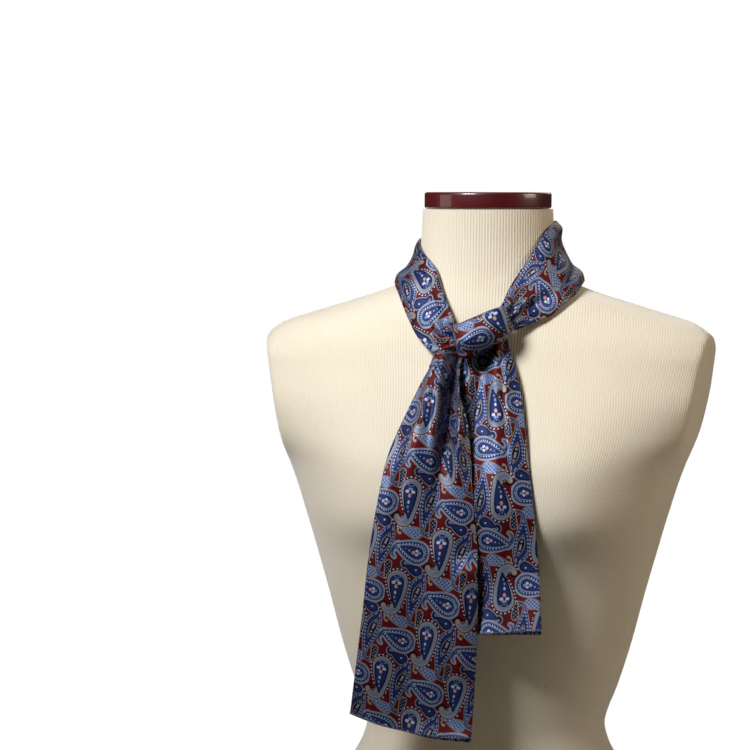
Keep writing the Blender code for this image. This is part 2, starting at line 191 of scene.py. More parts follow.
NECK_LOOP = (
    # x_up, y_up, z_up, x_low, y_low, z_low, rise
    (-13.5, -85.5, 619.5, -13, -93, 604, 0),
    (-19.5, -84, 621, -24.5, -93.8, 602.5, 1),
    (-22, -79, 625.5, -35.5, -89.7, 597, 2),
    (-25, -74, 632, -50, -81, 607, 3.5),
    (-32.6, -64.5, 648, -60.6, -72.5, 622, 3.5),
    (-42, -50.5, 669.5, -73, -54, 645, 2.5),
    (-55.2, -34.5, 682, -79.5, -30, 653, 0),
    (-62.5, -4, 692, -81.5, -3, 656.5, -1.5),
    (-46.3, 42, 693, -62.5, 51, 655.5, 0),
    (0, 58, 698, 0, 73.5, 653.5, 0.5),
    (46.3, 42, 706, 65.5, 52.5, 656.5, -1),
    (61.4, 5, 709, 85.5, 12, 657, -3),
    (56.6, -24.8, 702.5, 85.5, -20, 653, -1),
    (48.5, -40.3, 688.5, 81.5, -47, 645.5, 2.5),
    (41.2, -48.5, 677, 72.5, -60.5, 638, 3.5),
    (32.6, -57, 663, 60, -69, 628, 4),
    (26.4, -65, 652, 47, -74.5, 623, 3.5),
    (23, -74.5, 642, 36, -80.5, 618.5, 2.5),
    (21, -81.7, 636, 29.5, -83.8, 617, 0.5),
)
# The neck loop's folds, with their run from its left end, then with it from its right end
LOOP_FOLDS = (
    # start, end, run_from, run_to, height, half_width_top, half_width_end
    (0.45, 0.40, 0, 60, 2, 3.5, 9),
    (0.78, 0.80, 0, 70, -1.5, 3, 7),
    (0.15, 0.12, 0, 45, -1.5, 3, 6),
    (0.86, 0.86, 20, 300, 3.5, 6, 7),
    (0.12, 0.12, 50, 250, 1.5, 5, 7),
)
LOOP_RIGHT_FOLDS = (
    (0.20, 0.12, 0, 50, -2, 3, 8),
    (0.48, 0.42, 0, 75, 3, 3.5, 12),
    (0.80, 0.72, 0, 60, -2, 3, 9),
    (0.13, 0.12, 60, 230, 4.5, 6, 7),
    (0.88, 0.87, 30, 260, 4, 7, 8),
)
# The roll over the knot: its sections, the share of its round that is open behind, its lean
# at the left end, and the ridges round it with the distances over which its ends' ones fade
KNOT_WRAP = (
    # x, y, z, half_height, half_depth
    (-18.8, -95.8, 608, 8.5, 2.5),
    (-18, -96.3, 608, 12, 4.5),
    (-15, -97.6, 608, 13.8, 6.5),
    (-8, -98.6, 609.2, 14.8, 8.8),
    (0, -97.3, 612.5, 15.2, 11),
    (9, -95.1, 617, 14.6, 11.5),
    (17, -93.7, 621.5, 13.8, 10.5),
    (23.5, -92.3, 624.8, 12.8, 9),
    (27, -90.8, 626, 11.8, 7.4),
    (29, -89.5, 626.5, 10.2, 5.6),
    (29.9, -89.1, 626.8, 7.5, 4),
)
WRAP_OPENING = 0.30
WRAP_LEAN = 0.24
WRAP_LEFT_FADE = 13.0
WRAP_RIGHT_FADE = 5.0
WRAP_RIDGES = (
    # waves_round, phase, phase_per_mm, height, more_at_left_end, more_at_right_end
    (5, 0.8, 0, 0.02, 0.10, 0),
    (9, 0, 0, 0, 0.05, 0),
    (3, -math.pi / 2, 0.09, 0.018, 0, 0),
    (7, 0.5, 0, 0, 0, 0.04),
)

# Creases that only the looks have: a ridge is round, a groove has a sharp
# bottom, a lap stands up sharply on its line and dies away towards its far side, and a
# flare turns outwards by its height per millimetre beyond its line. Below zero, they go in.
# All but the flare rise over the first part of their line, die away over the last, and widen.
# Millimetres along the cloth from the knot, and across it from its middle line. The columns:
# kind, along_from, across_from, along_to, across_to, height, half_width
CREASE_RISE_SHARE = 0.12
CREASE_FADE_SHARE = 0.5
CREASE_START_WIDTH = 0.55
CREASE_WIDENING = 0.75
GROOVE_SOFTNESS = 0.02
LAP_STEP = 0.8
LONG_TAIL_CREASES = (
    ("ridge", 19, -18, 17, 12, 5.5, 9.5),
    ("ridge", 6, -4, 165, -9, 6, 11),
    ("ridge", 6, 2, 142, 4.5, 10.5, 4.8),
    ("groove", 9, 3, 36, -15, -2.4, 1.8),
    ("groove", 12, 5, 58, -12, -2.2, 2),
    ("lap", 0, 5.5, 132, 10, -9.5, 5.5),
    ("ridge", 6, 15.5, 150, 30, 9.5, 5.2),
    ("lap", 10, -9, 88, -11.5, 3.2, 9),
    ("lap", 70, -10, 128, -33, 2.6, 8),
    ("groove", 70, 11, 220, 5, -2.6, 9),
    ("groove", 30, 12, 110, 26, -1.8, 2.6),
    ("ridge", 100, -31, 270, -39, 1.8, 8),
    ("groove", 90, -19, 230, -27, -1.8, 7),
    ("ridge", 170, 14, 345, 20, 2.2, 14),
    ("groove", 190, -6, 345, -14, -1.6, 11),
    ("ridge", 270, 36, 345, 45, 1.8, 7),
    ("ridge", 345, 66, 338, -40, 3, 12),
    ("ridge", 185, 38, 345, 44, 9.5, 20),
    ("flare", 291, 56, 336, 4, 0.45, 5),
)
SHORT_TAIL_CREASES = (
    ("ridge", 38, -8, 36, 26, -1.6, 14),
    ("ridge", 40, -22, 150, -38, -2, 8),
    ("groove", 20, -5, 150, -13, -3.2, 6),
    ("ridge", 20, 6, 230, 14, 2.6, 9),
    ("groove", 24, 13, 150, 22, -1.8, 3.5),
    ("ridge", 24, 17, 210, 32, 2, 6),
    ("lap", 30, 1, 110, 3, 1.6, 7),
    ("groove", 120, 22, 262, 18, -1.6, 10),
    ("ridge", 150, -14, 262, -20, 1.8, 12),
    ("flare", 200, 60, 262, -30, 0.32, 9),
)
LEFT_BAND_CREASES = (
    ("groove", 0, -26, 0, 26, -2.5, 3.2),
    ("ridge", 13, -30, 15, 30, 2.2, 7),
    ("ridge", 1, -8, 30, -12.5, 2, 2.6),
    ("groove", 1, -5, 36, -8, -2.8, 2.2),
    ("ridge", 1, -2, 44, -0.5, 2.4, 3),
    ("groove", 1, 1.5, 38, 5.5, -2.8, 2.2),
    ("ridge", 1, 4.5, 34, 10.5, 2, 2.6),
    ("groove", 2, 7, 26, 15.5, -1.8, 2.2),
    ("groove", 24, -3, 96, -1, -1.4, 5),
    ("ridge", 20, 9, 110, 10, 1.2, 5),
    ("lap", 34, -10, 92, -12, 1, 5),
)
RIGHT_BAND_CREASES = (
    ("groove", 0, -26, 0, 26, -2.5, 3),
    ("ridge", 0, -6.5, 34, -13.5, 3, 2.6),
    ("groove", 0, -2.5, 38, -6, -3.4, 1.9),
    ("ridge", 0, 0.5, 52, 2.5, 2.4, 3.2),
    ("groove", 0, 4, 44, 9, -2.4, 2.2),
    ("ridge", 1, 8, 40, 14, 1.6, 2.6),
    ("groove", 26, -9, 100, -8, -1.6, 5),
    ("ridge", 40, 6, 130, 8, 1.6, 7),
    ("groove", 60, 15, 150, 15, -1.4, 5),
)

# The hems: how far their middle and the back ply sink over the last share of a tail, and
# the overlock thread's stitches, their reach up the cloth and past its end, and its standoff
LONG_HEM_SAG = 6.0
SHORT_HEM_SAG = 0.5
BACK_HEM_DROP = 3.0
HEM_SHARE = 0.2
STITCH_LENGTH = 0.75
STITCH_REACH = 1.9
STITCH_PAST_END = 0.18
STITCH_TOP_OUT = 0.12
STITCH_END_OUT = 0.05
STITCH_ROW_ABOVE = -6
THREAD_RADIUS = 0.19

# The print: its half-drop repeat, how its drops taper, how far outside a curl's middle line
# its run is measured, where on the neck loop it changes over, and its place on each stretch
REPEAT_ACROSS = 67.0
REPEAT_DOWN = 79.5
DROP_FULLNESS = 1.75
CURL_RUN_OUT = 3.0
BAND_PRINT_FROM = 0.25
BAND_PRINT_SHARE = 0.5
TWILL_PITCH = 0.55
PRINT_PLACES = {
    # piece: (millimetres right, millimetres up, degrees turned)
    "scarf_tail_long": (0.9, -6.4, 6.0),
    "scarf_tail_short": (16.6, 32.5, 178.0),
    "scarf_band_left": (17.3, -5.0, -8.0),
    "scarf_band_right": (14.9, -6.3, -2.0),
    "scarf_knot_wrap": (18.6, -0.2, -7.0),
}

# The photograph's camera: distance and height from the neck's axis, and where it points
CAMERA_DISTANCE = 1900.0
CAMERA_HEIGHT = 733.4
CAMERA_TURN = math.radians(6.0)
CAMERA_EULER = (math.radians(85.073), 0.0, math.radians(9.0865))
CAMERA_LENS = 100.22
CAMERA_SENSOR = 36.0

# The studio, in metres: a round floor and four soft lights
FLOOR_RADIUS = 0.74
FLOOR_BEVEL = 0.004
FLOOR_DEPTH = 0.024
FLOOR_POINTS = 160
ROOM_LIGHT = 0.03
ROOM_TONE = (1.0, 0.86, 0.68, 1.0)
LIGHTS = (
    # name, at, towards, size, watts, tone, spread in degrees
    ("key", (-0.64, -0.98, 1.62), (-0.01, -0.06, 0.61), 0.5, 2.0, (0.97, 1.0, 1.07), 39.0),
    ("right fill", (1.6, -0.2, 1.2), (0.05, -0.06, 0.70), 0.8, 1.3, (1.0, 0.86, 0.68), 54.0),
    ("left fill", (-1.7, -0.5, 0.55), (-0.02, -0.05, 0.50), 0.8, 2.6, (1.0, 0.9, 0.76), 180.0),
    ("rear", (0.4, 1.9, 1.7), (0.0, 0.1, 0.35), 1.4, 8.0, (1.0, 1.0, 1.0), 180.0),
)


def place(points):
    """Millimetres from the neck's axis to metres in the row's frame."""
    return (np.asarray(points, float) + (AXIS_X, AXIS_Y, 0.0)) * MM


def run_along(points, axis=0):
    """Distance along lines of points, from the first point of each."""
    steps = np.linalg.norm(np.diff(points, axis=axis), axis=-1)
    return np.insert(np.cumsum(steps, axis=axis), 0, 0.0, axis=axis)


def unit(vectors):
    """The directions of vectors."""
    return vectors / np.maximum(np.linalg.norm(vectors, axis=-1, keepdims=True), 1e-9)


def read_rows(rows, at, overshoot=False):
    """Each column of a table read at new values of its first column, on a smooth curve."""
    table = np.array(rows, float)
    x, columns = table[:, 0], table[:, 1:]
    step = np.diff(x)[:, None]
    slope = np.diff(columns, axis=0) / step
    tangent = np.zeros_like(columns)
    same_way = slope[:-1] * slope[1:] > 0
    both = np.where(same_way, slope[:-1] + slope[1:], 1.0)
    tangent[1:-1] = np.where(same_way, 2.0 * slope[:-1] * slope[1:] / both, 0.0)
    if overshoot:
        tangent[1:-1] = (slope[:-1] * step[1:] + slope[1:] * step[:-1]) / (step[:-1] + step[1:])
    tangent[0], tangent[-1] = slope[0], slope[-1]
    at = np.clip(np.asarray(at, float), x[0], x[-1])
    i = np.clip(np.searchsorted(x, at, side="right") - 1, 0, len(x) - 2)
    t = ((at - x[i]) / (x[i + 1] - x[i]))[:, None]
    h = (x[i + 1] - x[i])[:, None]
    return ((2 * t**3 - 3 * t**2 + 1) * columns[i] + (t**3 - 2 * t**2 + t) * h * tangent[i]
            + (3 * t**2 - 2 * t**3) * columns[i + 1] + (t**3 - t**2) * h * tangent[i + 1])


def soft_min(a, b, width):
    """The lower of two values, with a rounded change from one to the other."""
    mix = np.clip(0.5 + 0.5 * (b - a) / width, 0.0, 1.0)
    return b + (a - b) * mix - width * mix * (1.0 - mix)


def bust_rise(x, z):
    """How far the bust stands out of the form's front."""
    reach = np.where(z > BUST_Z, BUST_ABOVE, BUST_BELOW)
    side = np.exp(-(((np.abs(x) - BUST_X) / BUST_HALF_WIDTH) ** 2))
    return BUST_RISE * side * np.exp(-(((z - BUST_Z) / reach) ** 2))


def form_ring(z, count, inset):
    """One level of the form from the back's middle round past +X, and its length round."""
    half_width, front, back, square = read_rows(FORM_SECTIONS, [z])[0]
    turn = np.linspace(0.0, 2.0 * math.pi, RING_SAMPLES, endpoint=False)
    across, along = np.sin(turn), np.cos(turn)
    x = (half_width - inset) * np.sign(across) * np.abs(across) ** (2.0 / square)
    depth = np.where(along > 0, back - inset, front - inset)
    y = depth * np.sign(along) * np.abs(along) ** (2.0 / square)
    y = y - bust_rise(x, z) * np.clip(-y / front, 0.0, 1.0) ** 0.5
    face = ARM_FACE_X + ARM_FACE_LEAN * (z - ARM_FACE_Z) + ARM_FACE_TURN * y - inset
    if z > BUST_Z:
        x = np.sign(x) * soft_min(np.abs(x), face, ARM_FACE_ROUND)
    closed = np.column_stack([x, y])
    closed = np.vstack([closed, closed[:1]])
    run = run_along(closed)
    at = np.linspace(0.0, run[-1], count, endpoint=False)
    ring = [np.interp(at, run, closed[:, k]) for k in (0, 1)]
    return np.column_stack([*ring, np.full(count, z)]), run[-1]


def along_rows(rows, at):
    """A stretch's table read at shares of its length, and its run from row to row."""
    table = np.array(rows, float)
    run = run_along(0.5 * (table[:, 0:3] + table[:, 3:6]))
    return read_rows(np.column_stack([run, table]), np.asarray(at) * run[-1], overshoot=True), run


def ruled(rows, down, share):
    """Points on the straight lines between a stretch's two edges."""
    read, _ = along_rows(rows, np.clip(down, 0.0, 1.0))
    return read[:, None, 0:3] + (read[:, 3:6] - read[:, 0:3])[:, None, :] * share


def unit_normals(down, across, outward):
    """Unit normals from two directions in the cloth, turned to the side that outward is on."""
    normal = unit(np.cross(down, np.broadcast_to(across, down.shape)))
    side = np.sign(np.sum(normal * outward, axis=2, keepdims=True))
    return normal * np.where(side == 0, 1.0, side)


def smooth(value):
    """A soft change from 0 to 1."""
    value = np.clip(value, 0.0, 1.0)
    return value * value * (3.0 - 2.0 * value)


def fold_heights(folds, across, width, run):
    """How far the folds lift the cloth. Each swells from its start, and dies away to its end."""
    total = np.zeros(np.broadcast(across, run).shape)
    for start, end, run_from, run_to, height, narrow, broad in folds:
        t = np.clip((run - run_from) / (run_to - run_from), 0.0, 1.0)
        middle = start + (end - start) * t
        half_width = narrow + (broad - narrow) * t
        swell = FOLD_AT_START + (1.0 - FOLD_AT_START) * smooth((run - run_from) / FOLD_SWELL)
        if run_from == 0:
            fade = np.cos(0.5 * math.pi * t) ** FOLD_POWER_AT_KNOT
        else:
            fade = np.sin(math.pi * t) ** FOLD_POWER_BELOW
        total = total + height * swell * fade * np.exp(-(((across - middle) * width / half_width) ** 2))
    return total


def crease_heights(creases, along, across):
    """How far the creases lift the cloth, at millimetres along it and across it."""
    total = np.zeros(np.broadcast(along, across).shape)
    for kind, along_from, across_from, along_to, across_to, height, half_width in creases:
        far, over = along_to - along_from, across_to - across_from
        reach = math.hypot(far, over)
        t = ((along - along_from) * far + (across - across_from) * over) / reach**2
        off = ((across - across_from) * far - (along - along_from) * over) / reach
        if kind == "flare":
            total = total + height * half_width * np.logaddexp(0.0, off / half_width)
            continue
        width = half_width * (CREASE_START_WIDTH + CREASE_WIDENING * np.clip(t, 0.0, 1.0))
        if kind == "ridge":
            shape = np.exp(-((off / width) ** 2))
        elif kind == "groove":
            shape = np.exp(-np.sqrt((off / width) ** 2 + GROOVE_SOFTNESS))
        else:
            shape = 0.5 * (1.0 + np.tanh(off / LAP_STEP)) * np.exp(-np.maximum(off, 0.0) / width)
        total = total + height * smooth(t / CREASE_RISE_SHARE) * smooth((1.0 - t) / CREASE_FADE_SHARE) * shape
    return total


def stretch(rows, down, across, outward_from, folds, folds_from_end=(), creases=(), creases_from_end=()):
    """The outer face of a stretch of cloth, as a grid of points."""
    read, run = along_rows(rows, down)
    first, second, rise = read[:, 0:3], read[:, 3:6], read[:, 6]
    share = np.asarray(across)[None, :, None]
    base = first[:, None, :] + (second - first)[:, None, :] * share
    step = ruled(rows, down + NORMAL_STEP, share) - ruled(rows, down - NORMAL_STEP, share)
    normal = unit_normals(step, (second - first)[:, None, :], outward_from(base))
    width = np.linalg.norm(second - first, axis=1)[:, None]
    share = share[:, :, 0]
    over = (share - 0.5) * width
    from_start = (down * run[-1])[:, None]
    from_end = run[-1] - from_start
    height = rise[:, None] * 4.0 * share * (1.0 - share)
    height = height + fold_heights(folds, share, width, from_start)
    height = height + fold_heights(folds_from_end, share, width, from_end)
    height = height + crease_heights(creases, from_start, over)
    height = height + crease_heights(creases_from_end, from_end, over)
    return base + normal * height[:, :, None]


def away_from_neck(points):
    """Outward directions for cloth round the neck."""
    return points * (1.0, 1.0, 0.0)


def towards_front(points):
    """Outward directions for cloth on the form's front."""
    return np.zeros_like(points) + (0.0, -1.0, 0.0)


def both_faces(thickness, rows, down, across, outward_from, *folds):
    """The outer and the inner face of a stretch, a thickness apart."""
    outer = stretch(rows, down, across, outward_from, *folds)
    ahead = stretch(rows, np.minimum(down + NORMAL_STEP, 1.0), across, outward_from, *folds)
    behind = stretch(rows, np.maximum(down - NORMAL_STEP, 0.0), across, outward_from, *folds)
    normal = unit_normals(ahead - behind, np.gradient(outer, axis=1), outward_from(outer))
    return outer, outer - thickness * normal


def in_scene(name, data):
    """A new object in the scene."""
    obj = bpy.data.objects.new(name, data)
    bpy.context.scene.collection.objects.link(obj)
    return obj


def make_piece(name, points, faces, uvs, mat, slot, *nodes):
    """A piece from points in millimetres, in place of the solids at nodes.

    uvs is one pair for each face corner, or None."""
    mesh = bpy.data.meshes.new(name)
    mesh.from_pydata([tuple(p) for p in place(points)], [], [tuple(int(k) for k in f) for f in faces])
    if uvs is not None:
        layer = mesh.uv_layers.new(name="UVMap")
        layer.data.foreach_set("uv", np.asarray(uvs, np.float32).ravel())
    mesh.update()
    mesh.shade_smooth()
    obj = in_scene(name, mesh)
    mesh.materials.append(mat)
    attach(obj, "root")
    face_outwards(mesh)
    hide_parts(*nodes)
    return obj


def face_outwards(mesh):
    """Turns every face's normal outwards."""
    bm = bmesh.new()
    bm.from_mesh(mesh)
    bmesh.ops.recalc_face_normals(bm, faces=bm.faces)
    bm.to_mesh(mesh)
    bm.free()


def ring_faces(levels, count):
    """Faces of a solid from its rings of points, level by level, then its two ends."""
    faces = []
    for i in range(levels - 1):
        for j in range(count):
            n = (j + 1) % count
            faces.append((i * count + n, i * count + j, (i + 1) * count + j, (i + 1) * count + n))
    last = (levels - 1) * count
    return faces + [tuple(range(count)), tuple(range(last + count - 1, last - 1, -1))]


def ply_shell(loops, uv, thickness, closed=True):
    """Points, faces and uvs of a cloth of one ply that follows loops of points, row by row.

    uv has one more column than loops where the loops are closed, for the far side of the seam."""
    rows, columns = loops.shape[:2]
    down = np.gradient(loops, axis=0)
    if closed:
        across = 0.5 * (np.roll(loops, -1, axis=1) - np.roll(loops, 1, axis=1))
    else:
        across = np.gradient(loops, axis=1)
    normal = unit(np.cross(down, across))
    middle = loops.mean(axis=1, keepdims=True)
    if np.sum((loops - middle) * normal) < 0:
        normal = -normal
    inner = loops - normal * thickness
    points = np.concatenate([loops.reshape(-1, 3), inner.reshape(-1, 3)])
    faces, corners = [], []

    def add(*places):
        """A face through places: which side of the ply, row, column."""
        faces.append(tuple((side * rows + i) * columns + j % columns for side, i, j in places))
        corners.extend(uv[i, j] for _, i, j in places)

    last = columns if closed else columns - 1
    for i in range(rows - 1):
        for j in range(last):
            add((0, i, j), (0, i, j + 1), (0, i + 1, j + 1), (0, i + 1, j))
            add((1, i + 1, j), (1, i + 1, j + 1), (1, i, j + 1), (1, i, j))
    for i in (0, rows - 1):
        for j in range(last):
            add((0, i, j), (0, i, j + 1), (1, i, j + 1), (1, i, j))
    if not closed:
        for j in (0, columns - 1):
            for i in range(rows - 1):
                add((0, i, j), (0, i + 1, j), (1, i + 1, j), (1, i, j))
    return points, faces, np.array(corners)


def flattened_tube(outer, inner):
    """Closed loops round a doubled cloth: over the front, round one edge, back behind, round the other."""
    across = unit(np.gradient(outer, axis=1))

    def edge(column, way):
        centre = 0.5 * (outer[:, column] + inner[:, column])
        out = 0.5 * (outer[:, column] - inner[:, column])
        side = way * across[:, column] * np.linalg.norm(out, axis=1, keepdims=True)
        angles = np.linspace(0.0, math.pi, EDGE_STEPS + 2)[1:-1]
        return np.stack([centre + math.cos(a) * out + math.sin(a) * side for a in angles], axis=1)

    right = edge(-1, 1.0)
    left = edge(0, -1.0)[:, ::-1]
    return np.concatenate([outer, right, inner[:, ::-1], left], axis=1)


def print_uv(right, up, placing):
    """Metric uv from distances to the right and up on the cloth, moved and turned for the print."""
    over, rise, turn = placing
    turn = math.radians(turn)
    x = right * math.cos(turn) - up * math.sin(turn) + over
    y = right * math.sin(turn) + up * math.cos(turn) + rise
    return np.stack([x, y], axis=2) * MM


def round_run(loops, reference):
    """Distance round each loop from a reference column, with one more column at the seam."""
    run = run_along(np.concatenate([loops, loops[:, :1]], axis=1), axis=1)
    return run - run[:, reference:reference + 1]


def colour(red, green, blue):
    """A display colour from 0 to 255 as the linear colour that a shader takes."""
    value = np.array([red, green, blue], float) / 255.0
    linear = np.where(value <= 0.04045, value / 12.92, ((value + 0.055) / 1.055) ** 2.4)
    return (*[float(c) for c in linear], 1.0)


class Value:
    """A number in a material's node tree; arithmetic on it adds Math nodes."""

    def __init__(self, tree, socket):
        self.tree, self.socket = tree, socket

    def math(self, operation, *others, clamp=False):
        node = self.tree.nodes.new("ShaderNodeMath")
        node.operation = operation
        node.use_clamp = clamp
        for slot, value in zip(node.inputs, (self, *others)):
            if isinstance(value, Value):
                self.tree.links.new(value.socket, slot)
            else:
                slot.default_value = value
        return Value(self.tree, node.outputs[0])

    def __add__(self, other):
        return self.math("ADD", other)

    def __sub__(self, other):
        return self.math("SUBTRACT", other)

    def __mul__(self, other):
        return self.math("MULTIPLY", other)

    def times_plus(self, factor, term, clamp=False):
        return self.math("MULTIPLY_ADD", factor, term, clamp=clamp)

    def below(self, limit):
        return self.math("LESS_THAN", limit)

    def wrapped(self, half):
        return self.math("WRAP", half, -half)


def length(x, y):
    return x.times_plus(x, y * y).math("SQRT")


def within(x, y, radius):
    return x.times_plus(x, y * y).below(radius * radius)


def mix_colour(factor, under, over):
    """The colour over laid on under where factor is 1. Each may be a socket or a constant."""
    tree = factor.tree
    node = tree.nodes.new("ShaderNodeMix")
    node.data_type = "RGBA"
    for socket, value in ((node.inputs[0], factor.socket), (node.inputs[6], under), (node.inputs[7], over)):
        if isinstance(value, bpy.types.NodeSocket):
            tree.links.new(value, socket)
        else:
            socket.default_value = value
    return node.outputs[2]


def nearest_copy(x, y, at):
    """Coordinates about the nearest copy of a motif on the half-drop repeat, measured from at."""
    a = x - at[0]
    dx = a.wrapped(REPEAT_ACROSS / 4.0)
    dropped = (a - dx).times_plus(-REPEAT_DOWN / REPEAT_ACROSS, y - at[1])
    return dx + at[0], dropped.wrapped(REPEAT_DOWN / 2.0) + at[1]


def lay(under, distance, stops, details):
    """A motif on what lies under it: bands of colour, then its details.

    stops are pairs of a distance and the colour from there outwards, or None past the outline."""
    tree = distance.tree
    low, high = stops[0][0], stops[-1][0] + 1.0
    ramp = tree.nodes.new("ShaderNodeValToRGB")
    ramp.color_ramp.interpolation = "CONSTANT"
    fraction = distance.times_plus(1.0 / (high - low), -low / (high - low))
    tree.links.new(fraction.socket, ramp.inputs[0])
    elements = ramp.color_ramp.elements
    elements.remove(elements[1])
    for i, (at, tone) in enumerate(stops):
        element = elements.new((at - low) / (high - low)) if i else elements[0]
        element.color = tone or (0.0, 0.0, 0.0, 0.0)
    shown = ramp.outputs[0]
    for mask, over in details:
        shown = mix_colour(mask, shown, over)
    return mix_colour(Value(tree, ramp.outputs[1]), under, shown)


def drop(x, y, bulb, tip, radius, tip_radius, bend=0.0):
    """Distance outside a tapering drop whose point bends to one side, and the run along its outline."""
    h = math.hypot(tip[0] - bulb[0], tip[1] - bulb[1])
    ux, uy = (tip[0] - bulb[0]) / h, (tip[1] - bulb[1]) / h
    px, py = x - bulb[0], y - bulb[1]
    along = px.times_plus(ux, py * uy)
    side = px.times_plus(uy, py * -ux)
    t = along.math("MULTIPLY", 1.0 / h, clamp=True)
    late = t.math("POWER", DROP_FULLNESS)
    if bend:
        side = late.times_plus(-bend, side)
    end = t.times_plus(-h, along)
    distance = late.times_plus(radius - tip_radius, length(side, end)) - radius
    run = side.math("ARCTAN2", end).math("ABSOLUTE").times_plus(-radius, t * h)
    return distance, run


def curl(x, y, centre, radius, start, end, thick_start, thick_end):
    """Distance outside a tapering arc, and the run along it; start and end are angles in degrees."""
    start, end = math.radians(start), math.radians(end)
    middle, half = 0.5 * (start + end), 0.5 * (end - start)
    px, py = x - centre[0], y - centre[1]
    out = px.times_plus(math.cos(middle), py * math.sin(middle))
    side = px.times_plus(-math.sin(middle), py * math.cos(middle))
    angle = side.math("ARCTAN2", out).math("MINIMUM", abs(half)).math("MAXIMUM", -abs(half))
    off = length(angle.math("COSINE").times_plus(-radius, out), angle.math("SINE").times_plus(-radius, side))
    taper = (thick_end - thick_start) / (2.0 * half)
    distance = angle.times_plus(-taper, off) - 0.5 * (thick_start + thick_end)
    return distance, angle * (radius + CURL_RUN_OUT)


def beads(distance, run, at, spacing, radius):
    """Where a row of round dots shows, at a distance from an outline."""
    return within(distance - at, run.wrapped(spacing / 2.0), radius)


def joined(first, second, softness):
    """The union of two outlines, with the run of the nearer one."""
    (near, run), (other, other_run) = first, second
    picked = near.below(other).times_plus(run - other_run, other_run)
    return near.math("SMOOTH_MIN", other, softness), picked


def dot_grid(x, y, spacing, radius):
    """Where a slanting grid of dots shows."""
    return within((x + y).wrapped(spacing), (x - y).wrapped(spacing), radius)


# The print's colours
GROUND = colour(84, 13, 15)
PALE = colour(118, 124, 140)
BLUE_GREY = colour(104, 112, 134)
STEEL = colour(60, 78, 118)
LIGHT = colour(118, 134, 168)
ROYAL = colour(30, 42, 88)
NAVY = colour(8, 8, 24)
CREAM = colour(146, 128, 112)
WHITE = colour(176, 182, 200)
PINK = colour(176, 140, 138)
MAROON = colour(60, 8, 16)


def light_drop(x, y, under):
    """A small light drop with a thin curl."""
    dots = dot_grid(x, y, 1.75, 1.05)
    x, y = nearest_copy(x, y, (3, -29))
    x, y = x - 2.2, y - 1.2
    d, _ = drop(x, y, (7.4, -32.8), (-6.9, -28.4), 5.4, 0.9, -1.2)
    thin, _ = curl(x, y, (-6.4, -31.6), 3, 95, 265, 0.75, 0.75)
    ball = length(x + 6.9, y + 34.2) - 1.25
    shown = mix_colour(thin.math("MINIMUM", ball).below(0), under, CREAM)
    return lay(shown, d, [(-5, LIGHT), (-0.85, NAVY), (-0.5, CREAM), (0, None)],
               [(d.below(-1.5) * dots, ROYAL)])


def hooked_drop(x, y, under):
    """A small blue drop with a hooked end."""
    x, y = nearest_copy(x, y, (9.5, 16.5))
    body = drop(x, y, (14.7, 15.4), (4.5, 18.8), 5.5, 1.8, 0.8)
    d, _ = joined(body, curl(x, y, (3.9, 21.2), 2.4, 265, 60, 2.2, 1.5), 0.5)
    ball = length(x - 5.3, y - 23.1) - 1.35
    d = d.math("SMOOTH_MIN", ball, 0.4)
    return lay(under, d, [(-5, ROYAL), (-2.3, NAVY), (-1.6, ROYAL), (-0.8, PALE), (0, None)],
               [(within(x - 13.8, y - 16.2, 0.75), WHITE), (ball.below(-0.2), PALE)])


def leaf(x, y, under):
    """A leaf, pointed above and curled below, with an eye and a beaded edge."""
    x, y = nearest_copy(x, y, (16.2, -10))
    x, y = x + 1.2, y - 5.4
    body = drop(x, y, (18.3, -4.6), (15, -29.5), 7.9, 2.4)
    d, run = joined(body, curl(x, y, (20.2, -33), 5, 150, 285, 2.2, 1.5), 1)
    point, _ = drop(x, y, (18.3, -4.6), (23.2, 9.4), 7.7, 0.1)
    ball = length(x - 21, y + 37.3)
    d = d.math("MINIMUM", point).math("SMOOTH_MIN", ball - 2.7, 0.3)
    along = (x - 18.7).times_plus(-0.279, (y + 8.6) * -0.96)
    side = (x - 18.7).times_plus(-0.96, (y + 8.6) * 0.279)
    eye = along.times_plus(along * 0.034, side.math("ABSOLUTE") - 3.5)
    stops = [(-9, ROYAL), (-3.6, NAVY), (-3.2, ROYAL), (-1.15, STEEL), (-0.5, CREAM), (0, None)]
    return lay(under, d, stops, [
        (beads(d, run, -2.3, 3.1, 0.95) * ball.math("GREATER_THAN", 3), LIGHT),
        (eye.below(0), CREAM),
        (eye.below(-0.55), NAVY),
        (within(along.wrapped(1.7), side, 1.15) * eye.below(-1.2), LIGHT),
        (within(along - 1.7, side, 1), MAROON),
        (within(along + 1.7, side, 0.9), PINK),
        (ball.below(1.5), ROYAL),
        (ball.below(0.7), LIGHT),
    ])


def lying_paisley(x, y, under):
    """A paisley that lies on its side, with a row of dots round a core with a flower."""
    x, y = nearest_copy(x, y, (-27, -8))
    body = drop(x, y, (-20.4, -8.6), (-37.8, -3.2), 11, 4.6, -0.8)
    d, run = joined(body, curl(x, y, (-37.2, -9.6), 5.4, 110, 240, 3.8, 2.2), 1.2)
    core, _ = drop(x, y, (-20.4, -8.8), (-37.2, -3.2), 5.7, 0.2, -0.6)
    over, up = x + 21, y + 8.4
    return lay(under, d, [(-12, NAVY), (-2.8, STEEL), (-1.7, LIGHT), (-0.55, CREAM), (0, None)], [
        (beads(d, run, -3.9, 2.5, 0.64), WHITE),
        (core.below(0.5), LIGHT),
        (core.below(-0.4), ROYAL),
        (within(over, up.math("ABSOLUTE") - 1.5, 1.35), WHITE),
        (within(over + 2.9, up, 1.5), PINK),
        (within(over - 2.4, up, 1.2), LIGHT),
        (within(over + 0.6, up, 0.85), MAROON),
        (within(x + 27.6, y + 6.8, 0.9), LIGHT),
        (within(x + 31, y + 5.6, 0.6), LIGHT),
    ])


